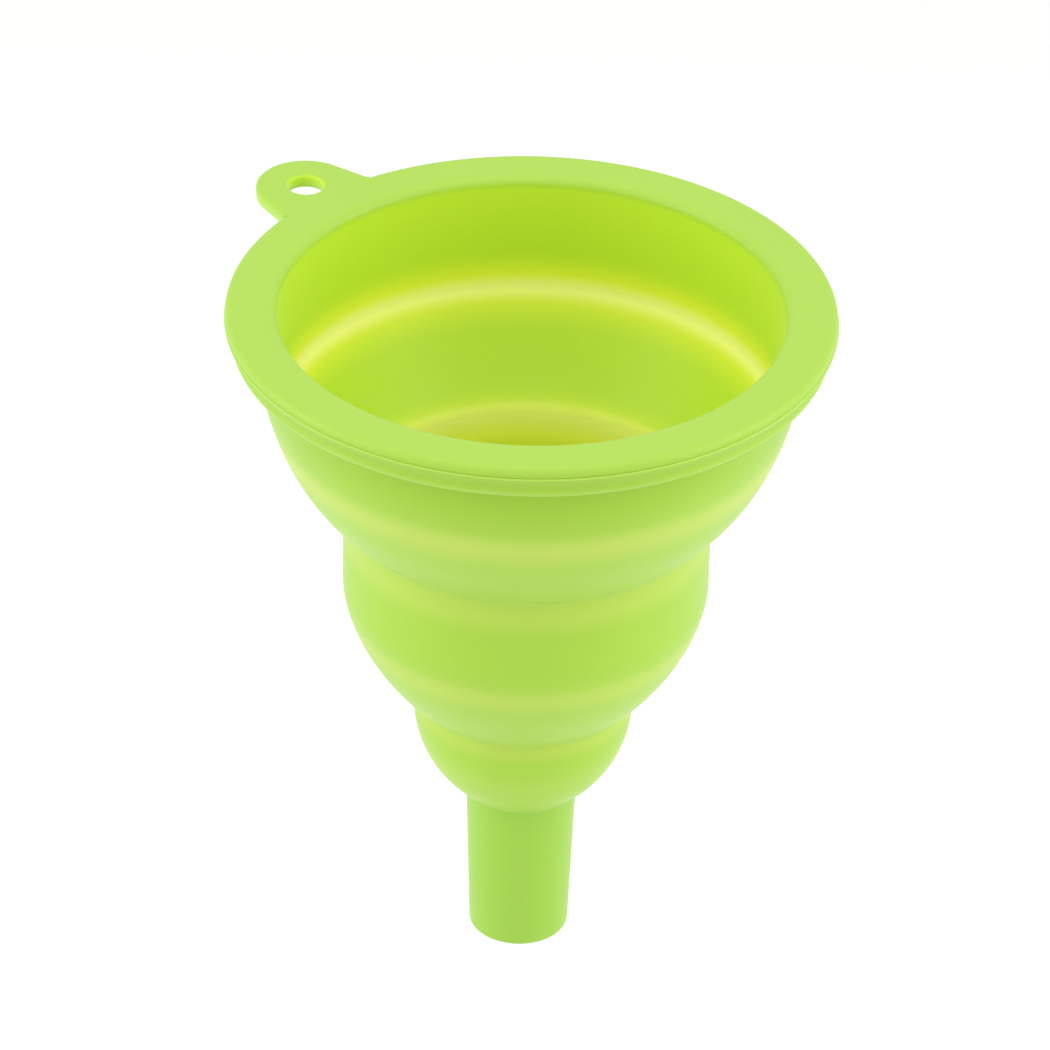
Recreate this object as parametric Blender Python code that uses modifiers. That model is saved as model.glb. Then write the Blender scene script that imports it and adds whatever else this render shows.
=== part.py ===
"""Folding kitchen funnel: a flat rim with a hanging tab, three nested tiers and a tapered spout.

Metres, +Z up.  The origin is on the pouring axis, at the corner where the spout leaves the
lowest tier: the level at which the funnel rests on the mouth of a bottle.  The tab points to -X.

Every tier is a stiff ring over a thin sloping web.  The webs roll inside out when the funnel
folds, so what hangs under each web slides straight up the axis by twice the web's height.
The bands meet on level faces, with a narrow gap between them.
"""
import math

import bpy

MM = 0.001

# Rim: a flat flange with rounded edges, whose side leans in towards its underside.
RIM_DIAMETER = 100.0 * MM
RIM_WIDTH = 8.4 * MM
RIM_THICKNESS = 5.9 * MM
RIM_LEAN = 1.0 * MM
RIM_TOP_EDGE = 1.4 * MM
RIM_LOWER_EDGE = 0.8 * MM
MOUTH_EDGE = 0.6 * MM

# Hanging tab: a round-ended tongue, flush with the top of the rim.
TAB_REACH = 3.8 * MM
TAB_END_RADIUS = 8.3 * MM
TAB_ROOT_WIDTH = 19.6 * MM
TAB_THICKNESS = 2.4 * MM
TAB_HOLE_DIAMETER = 6.4 * MM

# Upper tier, which hangs from the underside of the rim.
UPPER_OVERHANG = 4.8 * MM
UPPER_WALL_HEIGHT = 14.8 * MM
UPPER_WALL_LEAN = 2.7 * MM
UPPER_WEB_HEIGHT = 17.2 * MM

# Middle tier.
MIDDLE_DIAMETER = 60.6 * MM
MIDDLE_RING_HEIGHT = 20.2 * MM
MIDDLE_RING_LEAN = 1.4 * MM
MIDDLE_WEB_HEIGHT = 15.6 * MM

# Lower tier.
LOWER_DIAMETER = 36.6 * MM
LOWER_RING_HEIGHT = 9.2 * MM
LOWER_RING_LEAN = 1.8 * MM
LOWER_WEB_HEIGHT = 10.1 * MM

# Spout: a tapered tube with a rounded end.
SPOUT_DIAMETER = 18.4 * MM
SPOUT_LENGTH = 28.0 * MM
SPOUT_TAPER = 0.9 * MM
SPOUT_WALL = 1.7 * MM
SPOUT_END_EDGE = 1.2 * MM
SPOUT_SHOULDER = 0.7 * MM

# Walls: stiff in the rings, thin in the webs.
UPPER_WALL = 2.4 * MM
RING_WALL = 2.0 * MM
WEB_WALL = 1.3 * MM
WEB_BELLY = 1.5 * MM
RING_BELLY = 0.5 * MM

GAP = 0.3 * MM
TURN_STEPS = 60
CURVE_POINTS = 4
EDGE_POINTS = 3
TAB_END_POINTS = 22
TAB_ROOT_POINTS = 8
HOLE_POINTS = 24

RIM_RADIUS = RIM_DIAMETER / 2
MOUTH_RADIUS = RIM_RADIUS - RIM_WIDTH
RIM_FOOT_RADIUS = RIM_RADIUS - RIM_LEAN

# Levels, from the spout's corner at zero up to the top of the rim.
LOWER_KNUCKLE_Z = LOWER_WEB_HEIGHT
LOWER_TOP_Z = LOWER_KNUCKLE_Z + LOWER_RING_HEIGHT
MIDDLE_KNUCKLE_Z = LOWER_TOP_Z + MIDDLE_WEB_HEIGHT
MIDDLE_TOP_Z = MIDDLE_KNUCKLE_Z + MIDDLE_RING_HEIGHT
UPPER_KNUCKLE_Z = MIDDLE_TOP_Z + UPPER_WEB_HEIGHT
RIM_UNDERSIDE_Z = UPPER_KNUCKLE_Z + UPPER_WALL_HEIGHT
RIM_TOP_Z = RIM_UNDERSIDE_Z + RIM_THICKNESS

# Outer radii at those levels.
UPPER_TOP_RADIUS = RIM_RADIUS - UPPER_OVERHANG
UPPER_KNUCKLE_RADIUS = UPPER_TOP_RADIUS - UPPER_WALL_LEAN
MIDDLE_TOP_RADIUS = MIDDLE_DIAMETER / 2
MIDDLE_KNUCKLE_RADIUS = MIDDLE_TOP_RADIUS - MIDDLE_RING_LEAN
LOWER_TOP_RADIUS = LOWER_DIAMETER / 2
LOWER_KNUCKLE_RADIUS = LOWER_TOP_RADIUS - LOWER_RING_LEAN
SPOUT_RADIUS = SPOUT_DIAMETER / 2

FLANGE_GREEN = (0.50, 0.77, 0.13)
WALL_GREEN = (0.41, 0.67, 0.10)
WEB_GREEN = (0.44, 0.68, 0.12)
SPOUT_GREEN = (0.36, 0.64, 0.09)


def clear_scene():
    """Remove every object, so that the model stands alone."""
    for thing in list(bpy.data.objects):
        bpy.data.objects.remove(thing, do_unlink=True)


def silicone(name, colour, roughness):
    """A soft matt silicone rubber of one colour."""
    material = bpy.data.materials.new(name)
    material.use_nodes = True
    shader = material.node_tree.nodes["Principled BSDF"]
    shader.inputs["Base Color"].default_value = (*colour, 1.0)
    shader.inputs["Roughness"].default_value = roughness
    shader.inputs["Metallic"].default_value = 0.0
    return material


def edge_arc(centre, radius, first_degrees, last_degrees):
    """Points of a rounded edge in the (radius, height) plane."""
    points = []
    for step in range(EDGE_POINTS + 1):
        angle = math.radians(first_degrees + (last_degrees - first_degrees) * step / EDGE_POINTS)
        points.append((centre[0] + radius * math.cos(angle), centre[1] + radius * math.sin(angle)))
    return points


def bowed_line(start, end, belly):
    """Points of a shallow parabola from start to end, bowed outwards by belly at its middle."""
    points = []
    for step in range(CURVE_POINTS + 1):
        share = step / CURVE_POINTS
        bow = 4.0 * belly * share * (1.0 - share)
        points.append((
            start[0] + (end[0] - start[0]) * share + bow,
            start[1] + (end[1] - start[1]) * share,
        ))
    return points


def level_wall(outer, wall):
    """The inner line of a wall: the outer line moved in by the wall's level thickness.

    The level thickness grows with the slope, so that the wall keeps its true thickness."""
    inner = []
    last = len(outer) - 1
    for index, (radius, height) in enumerate(outer):
        before = outer[max(index - 1, 0)]
        after = outer[min(index + 1, last)]
        run = before[0] - after[0]
        drop = before[1] - after[1]
        inner.append((radius - wall * math.hypot(run, drop) / drop, height))
    return inner


def turn(name, section, material, collection):
    """Turn a closed section, whose outer side runs downwards, about the pouring axis."""
    mesh = bpy.data.meshes.new(name)
    points = [(radius, 0.0, height) for radius, height in section]
    edges = [(index, (index + 1) % len(points)) for index in range(len(points))]
    mesh.from_pydata(points, edges, [])
    band = bpy.data.objects.new(name, mesh)
    collection.objects.link(band)
    screw = band.modifiers.new("Turn", "SCREW")
    screw.axis = "Z"
    screw.steps = TURN_STEPS
    screw.render_steps = TURN_STEPS
    screw.use_merge_vertices = True
    screw.merge_threshold = 0.00005
    screw.use_smooth_shade = True
    mesh.materials.append(material)
    return band


def turned_band(name, outer, wall, material, collection):
    """A band of wall between its outer line, given downwards, and the inner line beside it."""
    inner = level_wall(outer, wall)
    return turn(name, outer + inner[::-1], material, collection)


def rim_flange(material, collection):
    """The flat flange: outer side leaning in, rounded edges, and the mouth in the middle."""
    lean = (RIM_THICKNESS - RIM_TOP_EDGE - RIM_LOWER_EDGE) / RIM_LEAN
    tilt = math.degrees(math.atan(1.0 / lean))
    top_edge = edge_arc(
        (RIM_RADIUS - RIM_TOP_EDGE, RIM_TOP_Z - RIM_TOP_EDGE), RIM_TOP_EDGE, 90.0, -tilt)
    lower_edge = edge_arc(
        (RIM_FOOT_RADIUS - RIM_LOWER_EDGE, RIM_UNDERSIDE_Z + RIM_LOWER_EDGE),
        RIM_LOWER_EDGE, -tilt, -90.0)
    mouth_edge = edge_arc(
        (MOUTH_RADIUS + MOUTH_EDGE, RIM_TOP_Z - MOUTH_EDGE), MOUTH_EDGE, 180.0, 90.0)
    section = top_edge + lower_edge + [(MOUTH_RADIUS, RIM_UNDERSIDE_Z)] + mouth_edge
    return turn("rim_flange", section, material, collection)


def hang_tab(material, collection):
    """The tab: a flat outline with a round end, a hollow foot on the rim and a round hole."""
    root_radius = RIM_RADIUS + GAP
    centre_x = -(RIM_RADIUS + TAB_REACH)
    root_half_angle = math.asin(TAB_ROOT_WIDTH / 2 / root_radius)
    outline = []
    for step in range(TAB_ROOT_POINTS + 1):
        angle = math.pi + root_half_angle * (1.0 - 2.0 * step / TAB_ROOT_POINTS)
        outline.append((root_radius * math.cos(angle), root_radius * math.sin(angle)))
    for step in range(TAB_END_POINTS + 1):
        angle = math.pi / 2 + math.pi * step / TAB_END_POINTS
        outline.append((
            centre_x + TAB_END_RADIUS * math.cos(angle),
            TAB_END_RADIUS * math.sin(angle),
        ))
    hole_radius = TAB_HOLE_DIAMETER / 2
    hole = []
    for step in range(HOLE_POINTS):
        angle = 2 * math.pi * step / HOLE_POINTS
        hole.append((centre_x + hole_radius * math.cos(angle), hole_radius * math.sin(angle)))

    curve = bpy.data.curves.new("hang_tab", "CURVE")
    curve.dimensions = "2D"
    curve.fill_mode = "BOTH"
    curve.extrude = TAB_THICKNESS / 2
    for line in (outline, hole):
        spline = curve.splines.new("POLY")
        spline.points.add(len(line) - 1)
        for point, (x, y) in zip(spline.points, line):
            point.co = (x, y, 0.0, 1.0)
        spline.use_cyclic_u = True
    tab = bpy.data.objects.new("hang_tab", curve)
    tab.location = (0.0, 0.0, RIM_TOP_Z - TAB_THICKNESS / 2)
    collection.objects.link(tab)
    curve.materials.append(material)
    return tab


def upper_tier(wall_material, web_material, collection):
    """The wall that hangs from the rim, and the web under it."""
    wall_line = bowed_line(
        (UPPER_TOP_RADIUS, RIM_UNDERSIDE_Z - GAP), (UPPER_KNUCKLE_RADIUS, UPPER_KNUCKLE_Z), RING_BELLY)
    wall = turned_band("upper_wall", wall_line, UPPER_WALL, wall_material, collection)
    web_line = bowed_line(
        (UPPER_KNUCKLE_RADIUS, UPPER_KNUCKLE_Z - GAP), (MIDDLE_TOP_RADIUS, MIDDLE_TOP_Z), WEB_BELLY)
    web = turned_band("upper_web", web_line, WEB_WALL, web_material, collection)
    return [wall, web]


def middle_tier(wall_material, web_material, collection):
    """The middle ring, nearly upright, and the web under it."""
    ring_line = bowed_line(
        (MIDDLE_TOP_RADIUS, MIDDLE_TOP_Z - GAP), (MIDDLE_KNUCKLE_RADIUS, MIDDLE_KNUCKLE_Z), RING_BELLY)
    ring = turned_band("middle_ring", ring_line, RING_WALL, wall_material, collection)
    web_line = bowed_line(
        (MIDDLE_KNUCKLE_RADIUS, MIDDLE_KNUCKLE_Z - GAP), (LOWER_TOP_RADIUS, LOWER_TOP_Z), WEB_BELLY)
    web = turned_band("middle_web", web_line, WEB_WALL, web_material, collection)
    return [ring, web]


def lower_tier(wall_material, web_material, collection):
    """The lower ring and the short web that closes in on the spout."""
    shoulder_radius = SPOUT_RADIUS + SPOUT_SHOULDER
    ring_line = bowed_line(
        (LOWER_TOP_RADIUS, LOWER_TOP_Z - GAP), (LOWER_KNUCKLE_RADIUS, LOWER_KNUCKLE_Z), RING_BELLY)
    ring = turned_band("lower_ring", ring_line, RING_WALL, wall_material, collection)
    web_line = bowed_line(
        (LOWER_KNUCKLE_RADIUS, LOWER_KNUCKLE_Z - GAP), (shoulder_radius, 0.0), WEB_BELLY)
    web = turned_band("lower_web", web_line, WEB_WALL, web_material, collection)
    return [ring, web]


def spout_tube(material, collection):
    """The tapered spout, its outer end rounded over, open right through."""
    end_radius = SPOUT_RADIUS - SPOUT_TAPER
    top = (SPOUT_RADIUS, -GAP)
    end_edge = edge_arc(
        (end_radius - SPOUT_END_EDGE, SPOUT_END_EDGE - SPOUT_LENGTH), SPOUT_END_EDGE, 0.0, -90.0)
    bore = [(end_radius - SPOUT_WALL, -SPOUT_LENGTH), (SPOUT_RADIUS - SPOUT_WALL, -GAP)]
    return turn("spout_tube", [top] + end_edge + bore, material, collection)


def build_funnel():
    """Model every band of the funnel and hang them from one empty at the origin."""
    clear_scene()
    collection = bpy.data.collections.new("folding_funnel")
    bpy.context.scene.collection.children.link(collection)
    rim_silicone = silicone("rim_silicone", FLANGE_GREEN, 0.42)
    wall_silicone = silicone("wall_silicone", WALL_GREEN, 0.45)
    web_silicone = silicone("web_silicone", WEB_GREEN, 0.48)
    spout_silicone = silicone("spout_silicone", SPOUT_GREEN, 0.45)

    bands = [rim_flange(rim_silicone, collection), hang_tab(rim_silicone, collection)]
    bands += upper_tier(wall_silicone, web_silicone, collection)
    bands += middle_tier(wall_silicone, web_silicone, collection)
    bands += lower_tier(wall_silicone, web_silicone, collection)
    bands.append(spout_tube(spout_silicone, collection))

    seat = bpy.data.objects.new("bottle_mouth_level", None)
    collection.objects.link(seat)
    for band in bands:
        band.parent = seat


build_funnel()
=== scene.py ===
"""Folding kitchen funnel: the finished silicone surfaces, around the fixed frame.

Every tier is one soft skin, turned as an open outer surface and thickened inwards, so that its
wall would keep its thickness if the web under its ring rolled inside out.  The rim carries the
hanging tab, the mould's parting line and the rounded lips.  The last operator sets the studio.
"""

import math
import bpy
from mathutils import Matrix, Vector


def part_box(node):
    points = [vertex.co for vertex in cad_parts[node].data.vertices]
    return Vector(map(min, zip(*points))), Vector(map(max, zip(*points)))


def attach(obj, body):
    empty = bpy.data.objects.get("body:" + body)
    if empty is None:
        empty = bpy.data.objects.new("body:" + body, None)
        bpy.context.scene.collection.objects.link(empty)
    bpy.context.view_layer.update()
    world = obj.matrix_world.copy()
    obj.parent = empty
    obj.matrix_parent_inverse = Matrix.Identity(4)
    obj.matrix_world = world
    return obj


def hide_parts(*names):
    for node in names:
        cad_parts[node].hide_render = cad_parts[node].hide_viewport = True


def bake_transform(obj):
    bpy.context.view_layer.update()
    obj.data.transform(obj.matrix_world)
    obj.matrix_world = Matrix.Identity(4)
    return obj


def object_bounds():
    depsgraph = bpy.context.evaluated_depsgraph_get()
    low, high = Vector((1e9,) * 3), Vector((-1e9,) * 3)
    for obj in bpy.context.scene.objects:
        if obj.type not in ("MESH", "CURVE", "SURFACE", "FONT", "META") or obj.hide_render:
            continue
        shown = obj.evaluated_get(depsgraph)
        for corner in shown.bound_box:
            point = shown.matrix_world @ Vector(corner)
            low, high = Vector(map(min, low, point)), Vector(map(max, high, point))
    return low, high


bl_info = {
    "name": "Folding Kitchen Funnel",
    "version": (1, 0, 0),
    "blender": (4, 5, 0),
    "location": "3D View > Sidebar > Funnel",
    "description": "Builds the finished surfaces of a folding silicone funnel and its studio",
    "category": "Object",
}

import bmesh
import bpy
import numpy as np
from bpy.props import FloatProperty, FloatVectorProperty, IntProperty, PointerProperty
from bpy.types import Operator, Panel, PropertyGroup
from mathutils import Matrix, Vector

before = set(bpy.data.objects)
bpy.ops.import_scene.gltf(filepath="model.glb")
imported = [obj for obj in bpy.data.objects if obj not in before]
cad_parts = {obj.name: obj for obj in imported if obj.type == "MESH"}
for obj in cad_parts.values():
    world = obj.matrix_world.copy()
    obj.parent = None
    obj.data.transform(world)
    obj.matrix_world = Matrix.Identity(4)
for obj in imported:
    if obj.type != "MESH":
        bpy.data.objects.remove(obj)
CAD_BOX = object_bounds()

MM = 0.001

# Levels and radii of the frame that the skins are fitted to.
RIM_LOW, RIM_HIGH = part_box("rim_flange")
TAB_LOW, TAB_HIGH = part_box("hang_tab")
WALL_LOW, WALL_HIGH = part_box("upper_wall")
UPPER_WEB_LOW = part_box("upper_web")[0]
MIDDLE_LOW, MIDDLE_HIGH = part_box("middle_ring")
MIDDLE_WEB_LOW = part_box("middle_web")[0]
LOWER_LOW, LOWER_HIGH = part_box("lower_ring")
LOWER_WEB_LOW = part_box("lower_web")[0]
SPOUT_LOW, SPOUT_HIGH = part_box("spout_tube")

# Where each web meets the ring or the spout under it, as (radius, height).
FIRST_CORNER = Vector((MIDDLE_HIGH.x, UPPER_WEB_LOW.z))
SECOND_CORNER = Vector((LOWER_HIGH.x, MIDDLE_WEB_LOW.z))
THIRD_CORNER = Vector((SPOUT_HIGH.x, LOWER_WEB_LOW.z))

# How far the outlines lean in: the bowl at the rim, and each web where it ends.
BOWL_LEAN = math.radians(5.8)
UPPER_WEB_LEAN = math.radians(48.8)
MIDDLE_WEB_LEAN = math.radians(49.4)
LOWER_WEB_LEAN = math.radians(52.1)

# Handles of the tiers' curves, at the ring and at the web's end, as shares of the chord.
UPPER_PULLS = (0.365, 0.352)
MIDDLE_PULLS = (0.288, 0.30)
LOWER_PULLS = (0.305, 0.41)

# Upright stretch at the top of each ring, before its curve starts.
MIDDLE_SHOULDER = 13.7 * MM
LOWER_SHOULDER = 1.8 * MM

# Depths: the inside's green of painted passed light below the rim's top, and the painted shade below
# the rim's underside.
INSIDE_STARTS = 0.4 * MM
INSIDE_FULL = 2.2 * MM
SHADE_FADES = 4.0 * MM
SHADE_ENDS = 15.0 * MM

FILLET_STEPS = 8
EDGE_STEPS = 10
SEAM_STEP = 0.15 * MM

# The lower tier rolls in a tight curve, so its knuckle is lower and its wall thins there.
LOWER_KNUCKLE_DROP = 1.5 * MM
LOWER_ROLL_DROP = 0.65 * MM
LOWER_HINGE_WALL = 0.15 * MM
LOWER_HINGE_SLOPE = 0.8

# Masks painted on the meshes' points, each laying painted light or shade into the colour, and the
# vertex group that sets a soft skin's wall.
OUTER_GLOW = "outer_glow"
INNER_GLOW = "inner_glow"
INNER_CREST_HIGHLIGHT = "inner_crest_highlight"
INSIDE = "inside"
PAINTED_SHADE = "painted_shade"
PARTING_HIGHLIGHT = "parting_highlight"
WALL_GROUP = "wall"


# ---------------------------------------------------------------- settings

class FunnelShape(PropertyGroup):
    """Sizes of the finished surfaces."""

    turn_steps: IntProperty(
        name="Turn Steps", description="Facets round the funnel", default=216, min=24)
    outline_steps: IntProperty(
        name="Outline Steps", description="Facets down each tier's curve", default=64, min=8)
    rim_width: FloatProperty(
        name="Rim Width", description="Flat top of the rim, from its side to the mouth",
        default=8.4 * MM, unit="LENGTH")
    rim_lean: FloatProperty(
        name="Rim Lean", description="How much the rim's side draws in towards its foot",
        default=1.0 * MM, unit="LENGTH")
    rim_top_edge: FloatProperty(
        name="Rim Top Edge", description="Rounding of the rim's upper outer edge",
        default=1.1 * MM, unit="LENGTH")
    rim_lip: FloatProperty(
        name="Rim Lip", description="Rounding of the rim's lower outer edge",
        default=0.9 * MM, unit="LENGTH")
    mouth_edge: FloatProperty(
        name="Mouth Edge", description="Rounding where the rim turns down into the mouth",
        default=1.3 * MM, unit="LENGTH")
    parting_depth: FloatProperty(
        name="Parting Line Depth", description="How far below the rim's top the mould parts",
        default=1.9 * MM, unit="LENGTH")
    parting_flash: FloatProperty(
        name="Parting Flash", description="How far the flash stands out at the parting line",
        default=0.24 * MM, unit="LENGTH")
    tab_end_radius: FloatProperty(
        name="Tab End Radius", description="Radius of the tab's round end",
        default=8.3 * MM, unit="LENGTH")
    tab_taper: FloatProperty(
        name="Tab Taper", description="How much each side of the tab opens towards the rim",
        default=math.radians(12), subtype="ANGLE")
    tab_edge: FloatProperty(
        name="Tab Edge", description="Rounding of the tab's edges and of its hole",
        default=0.55 * MM, unit="LENGTH")
    tab_root_fillet: FloatProperty(
        name="Tab Root Fillet", description="Hollow rounding where the tab leaves the rim",
        default=0.35 * MM, unit="LENGTH")
    tab_hole_radius: FloatProperty(
        name="Tab Hole Radius", description="Half the hanging hole's diameter",
        default=2.95 * MM, unit="LENGTH")
    ridge_wall: FloatProperty(
        name="Ridge Wall", description="Wall where a stiff ring turns into its web",
        default=1.35 * MM, unit="LENGTH")
    web_wall: FloatProperty(
        name="Web Wall", description="Wall half way down a web",
        default=1.5 * MM, unit="LENGTH")
    ring_wall: FloatProperty(
        name="Ring Wall", description="Wall at the top of a stiff ring",
        default=1.9 * MM, unit="LENGTH")
    corner_wall: FloatProperty(
        name="Corner Wall", description="Wall where a web meets the ring under it",
        default=1.15 * MM, unit="LENGTH")
    corner_fillet: FloatProperty(
        name="Corner Fillet", description="Hollow rounding outside each corner",
        default=1.2 * MM, unit="LENGTH")
    corner_slope: FloatProperty(
        name="Corner Slope", description="How far below a corner the ring reaches its full wall",
        default=4.5 * MM, unit="LENGTH")
    spout_end_radius: FloatProperty(
        name="Spout End Radius", description="Outer radius of the spout at its end",
        default=8.3 * MM, unit="LENGTH")
    spout_wall: FloatProperty(
        name="Spout Wall", description="Wall of the spout", default=1.7 * MM, unit="LENGTH")
    spout_end_edge: FloatProperty(
        name="Spout End Edge", description="Outer rounding of the spout's end",
        default=1.2 * MM, unit="LENGTH")
    spout_bore_edge: FloatProperty(
        name="Spout Bore Edge", description="Inner rounding of the spout's end",
        default=0.3 * MM, unit="LENGTH")


class FunnelFinish(PropertyGroup):
    """Colours and gloss of the silicone, and the pale floor."""

    outside_green: FloatVectorProperty(
        name="Outside Green", description="Silicone on the outside of the tiers",
        subtype="COLOR", size=3, min=0, max=1, default=(0.362, 0.602, 0.043))
    rim_green: FloatVectorProperty(
        name="Rim Green", description="Silicone of the rim and the tab",
        subtype="COLOR", size=3, min=0, max=1, default=(0.376, 0.61, 0.063))
    # Painted shade: a deeper green for the outside close under the rim and the rim's side by its
    # parting line.
    shaded_green: FloatVectorProperty(
        name="Shaded Green", description="Outside close under the rim, deeper and richer",
        subtype="COLOR", size=3, min=0, max=1, default=(0.325, 0.555, 0.023))
    # Painted highlight: the flash bead's lighter green stands in for the light it catches.
    flash_highlight: FloatVectorProperty(
        name="Flash Highlight", description="The thin bright flash at the rim's parting line",
        subtype="COLOR", size=3, min=0, max=1, default=(0.44, 0.68, 0.082))
    outside_glow: FloatVectorProperty(
        name="Outside Glow", description="Outside where a thin wall lets light through",
        subtype="COLOR", size=3, min=0, max=1, default=(0.47, 0.64, 0.078))
    # Painted light: the inside's richer green stands in for light passed through the wall and
    # bounced round the mouth.
    inside_green: FloatVectorProperty(
        name="Inside Green", description="Silicone inside the mouth, richer by passed light",
        subtype="COLOR", size=3, min=0, max=1, default=(0.52, 0.745, 0.034))
    inside_glow: FloatVectorProperty(
        name="Inside Glow", description="Inside, next to a thin ridge",
        subtype="COLOR", size=3, min=0, max=1, default=(0.94, 0.93, 0.06))
    # Painted highlight: the pale crest along each ridge and corner inside, where light catches the
    # thin bend and shines through it.
    crest_highlight_colour: FloatVectorProperty(
        name="Crest Highlight", description="The pale crest of a ridge on the inside",
        subtype="COLOR", size=3, min=0, max=1, default=(0.96, 0.95, 0.30))
    # Painted shade: the spout's green is a little deeper than the tiers' outside, for the shade it
    # hangs in.
    spout_green: FloatVectorProperty(
        name="Spout Green", description="Silicone of the spout",
        subtype="COLOR", size=3, min=0, max=1, default=(0.315, 0.565, 0.047))
    roughness: FloatProperty(
        name="Roughness", description="Mean roughness of the moulded surface",
        default=0.42, min=0, max=1)
    floor_white: FloatVectorProperty(
        name="Floor White", description="The pale floor",
        subtype="COLOR", size=3, min=0, max=1, default=(0.95, 0.95, 0.935))


class FunnelStudio(PropertyGroup):
    """Camera and lights."""

    azimuth: FloatProperty(
        name="Azimuth", description="Camera's turn about the pouring axis",
        default=math.radians(45.08), subtype="ANGLE")
    elevation: FloatProperty(
        name="Elevation", description="Camera's height above the horizon",
        default=math.radians(32.374), subtype="ANGLE")
    roll: FloatProperty(
        name="Roll", description="Camera's tilt about its own axis",
        default=math.radians(1.285), subtype="ANGLE")
    distance: FloatProperty(
        name="Distance", description="Camera to the middle of the rim's top, along its axis",
        default=1.5, unit="LENGTH")
    shift_right: FloatProperty(
        name="Aim Right", description="How far the camera stands left of the rim's middle",
        default=0.32 * MM, unit="LENGTH")
    drop: FloatProperty(
        name="Aim Drop", description="How far below the rim's middle the camera aims",
        default=35.37 * MM, unit="LENGTH")
    lens: FloatProperty(
        name="Lens", description="Focal length on a 36 mm sensor, in millimetres", default=316.1)
    surround: FloatProperty(
        name="Surround", description="Strength of the even light from the room", default=0.82)
    left_power: FloatProperty(
        name="Left Power", description="Power of the left softbox, in watts", default=2.25)
    right_power: FloatProperty(
        name="Right Power", description="Power of the right softbox, in watts", default=2.25)
    key_power: FloatProperty(
        name="Key Power", description="Power of the softbox over the camera, in watts", default=0.53)
    top_power: FloatProperty(
        name="Top Power", description="Power of the softbox behind and above, in watts",
        default=0.73)


def shape():
    """The sizes now set."""
    return bpy.context.scene.funnel_shape


def finish():
    """The colours and gloss now set."""
    return bpy.context.scene.funnel_finish


def studio():
    """The camera and lights now set."""
    return bpy.context.scene.funnel_studio


# ---------------------------------------------------------------- node groups

def new_group(name, inputs, outputs):
    """An empty shader node group with named sockets, given as (name, kind, default)."""
    group = bpy.data.node_groups.new(name, "ShaderNodeTree")
    for label, kind, value in inputs:
        socket = group.interface.new_socket(label, in_out="INPUT", socket_type=kind)
        socket.default_value = value
    for label, kind in outputs:
        group.interface.new_socket(label, in_out="OUTPUT", socket_type=kind)
    start = group.nodes.new("NodeGroupInput")
    end = group.nodes.new("NodeGroupOutput")
    return group, start, end


def moulded_grain_group():
    """The fine grain of a moulded surface: a height, and a gentle change of roughness."""
    group, start, end = new_group(
        "Moulded Grain",
        [("Grain Size", "NodeSocketFloat", 0.25 * MM), ("Roughness", "NodeSocketFloat", 0.42),
         ("Patchiness", "NodeSocketFloat", 0.05)],
        [("Height", "NodeSocketFloat"), ("Roughness", "NodeSocketFloat")])
    links = group.links
    place = group.nodes.new("ShaderNodeTexCoord")
    density = group.nodes.new("ShaderNodeMath")
    density.operation = "DIVIDE"
    density.inputs[0].default_value = 1.0
    links.new(start.outputs["Grain Size"], density.inputs[1])
    grain = group.nodes.new("ShaderNodeTexNoise")
    grain.inputs["Detail"].default_value = 3.0
    links.new(place.outputs["Object"], grain.inputs["Vector"])
    links.new(density.outputs[0], grain.inputs["Scale"])
    patches = group.nodes.new("ShaderNodeTexNoise")
    patches.inputs["Scale"].default_value = 55.0
    patches.inputs["Detail"].default_value = 2.0
    links.new(place.outputs["Object"], patches.inputs["Vector"])
    centred = group.nodes.new("ShaderNodeMath")
    centred.operation = "SUBTRACT"
    centred.inputs[1].default_value = 0.5
    links.new(patches.outputs["Fac"], centred.inputs[0])
    change = group.nodes.new("ShaderNodeMath")
    change.operation = "MULTIPLY_ADD"
    links.new(centred.outputs[0], change.inputs[0])
    links.new(start.outputs["Patchiness"], change.inputs[1])
    links.new(start.outputs["Roughness"], change.inputs[2])
    links.new(grain.outputs["Fac"], end.inputs["Height"])
    links.new(change.outputs[0], end.inputs["Roughness"])
    return group


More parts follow.
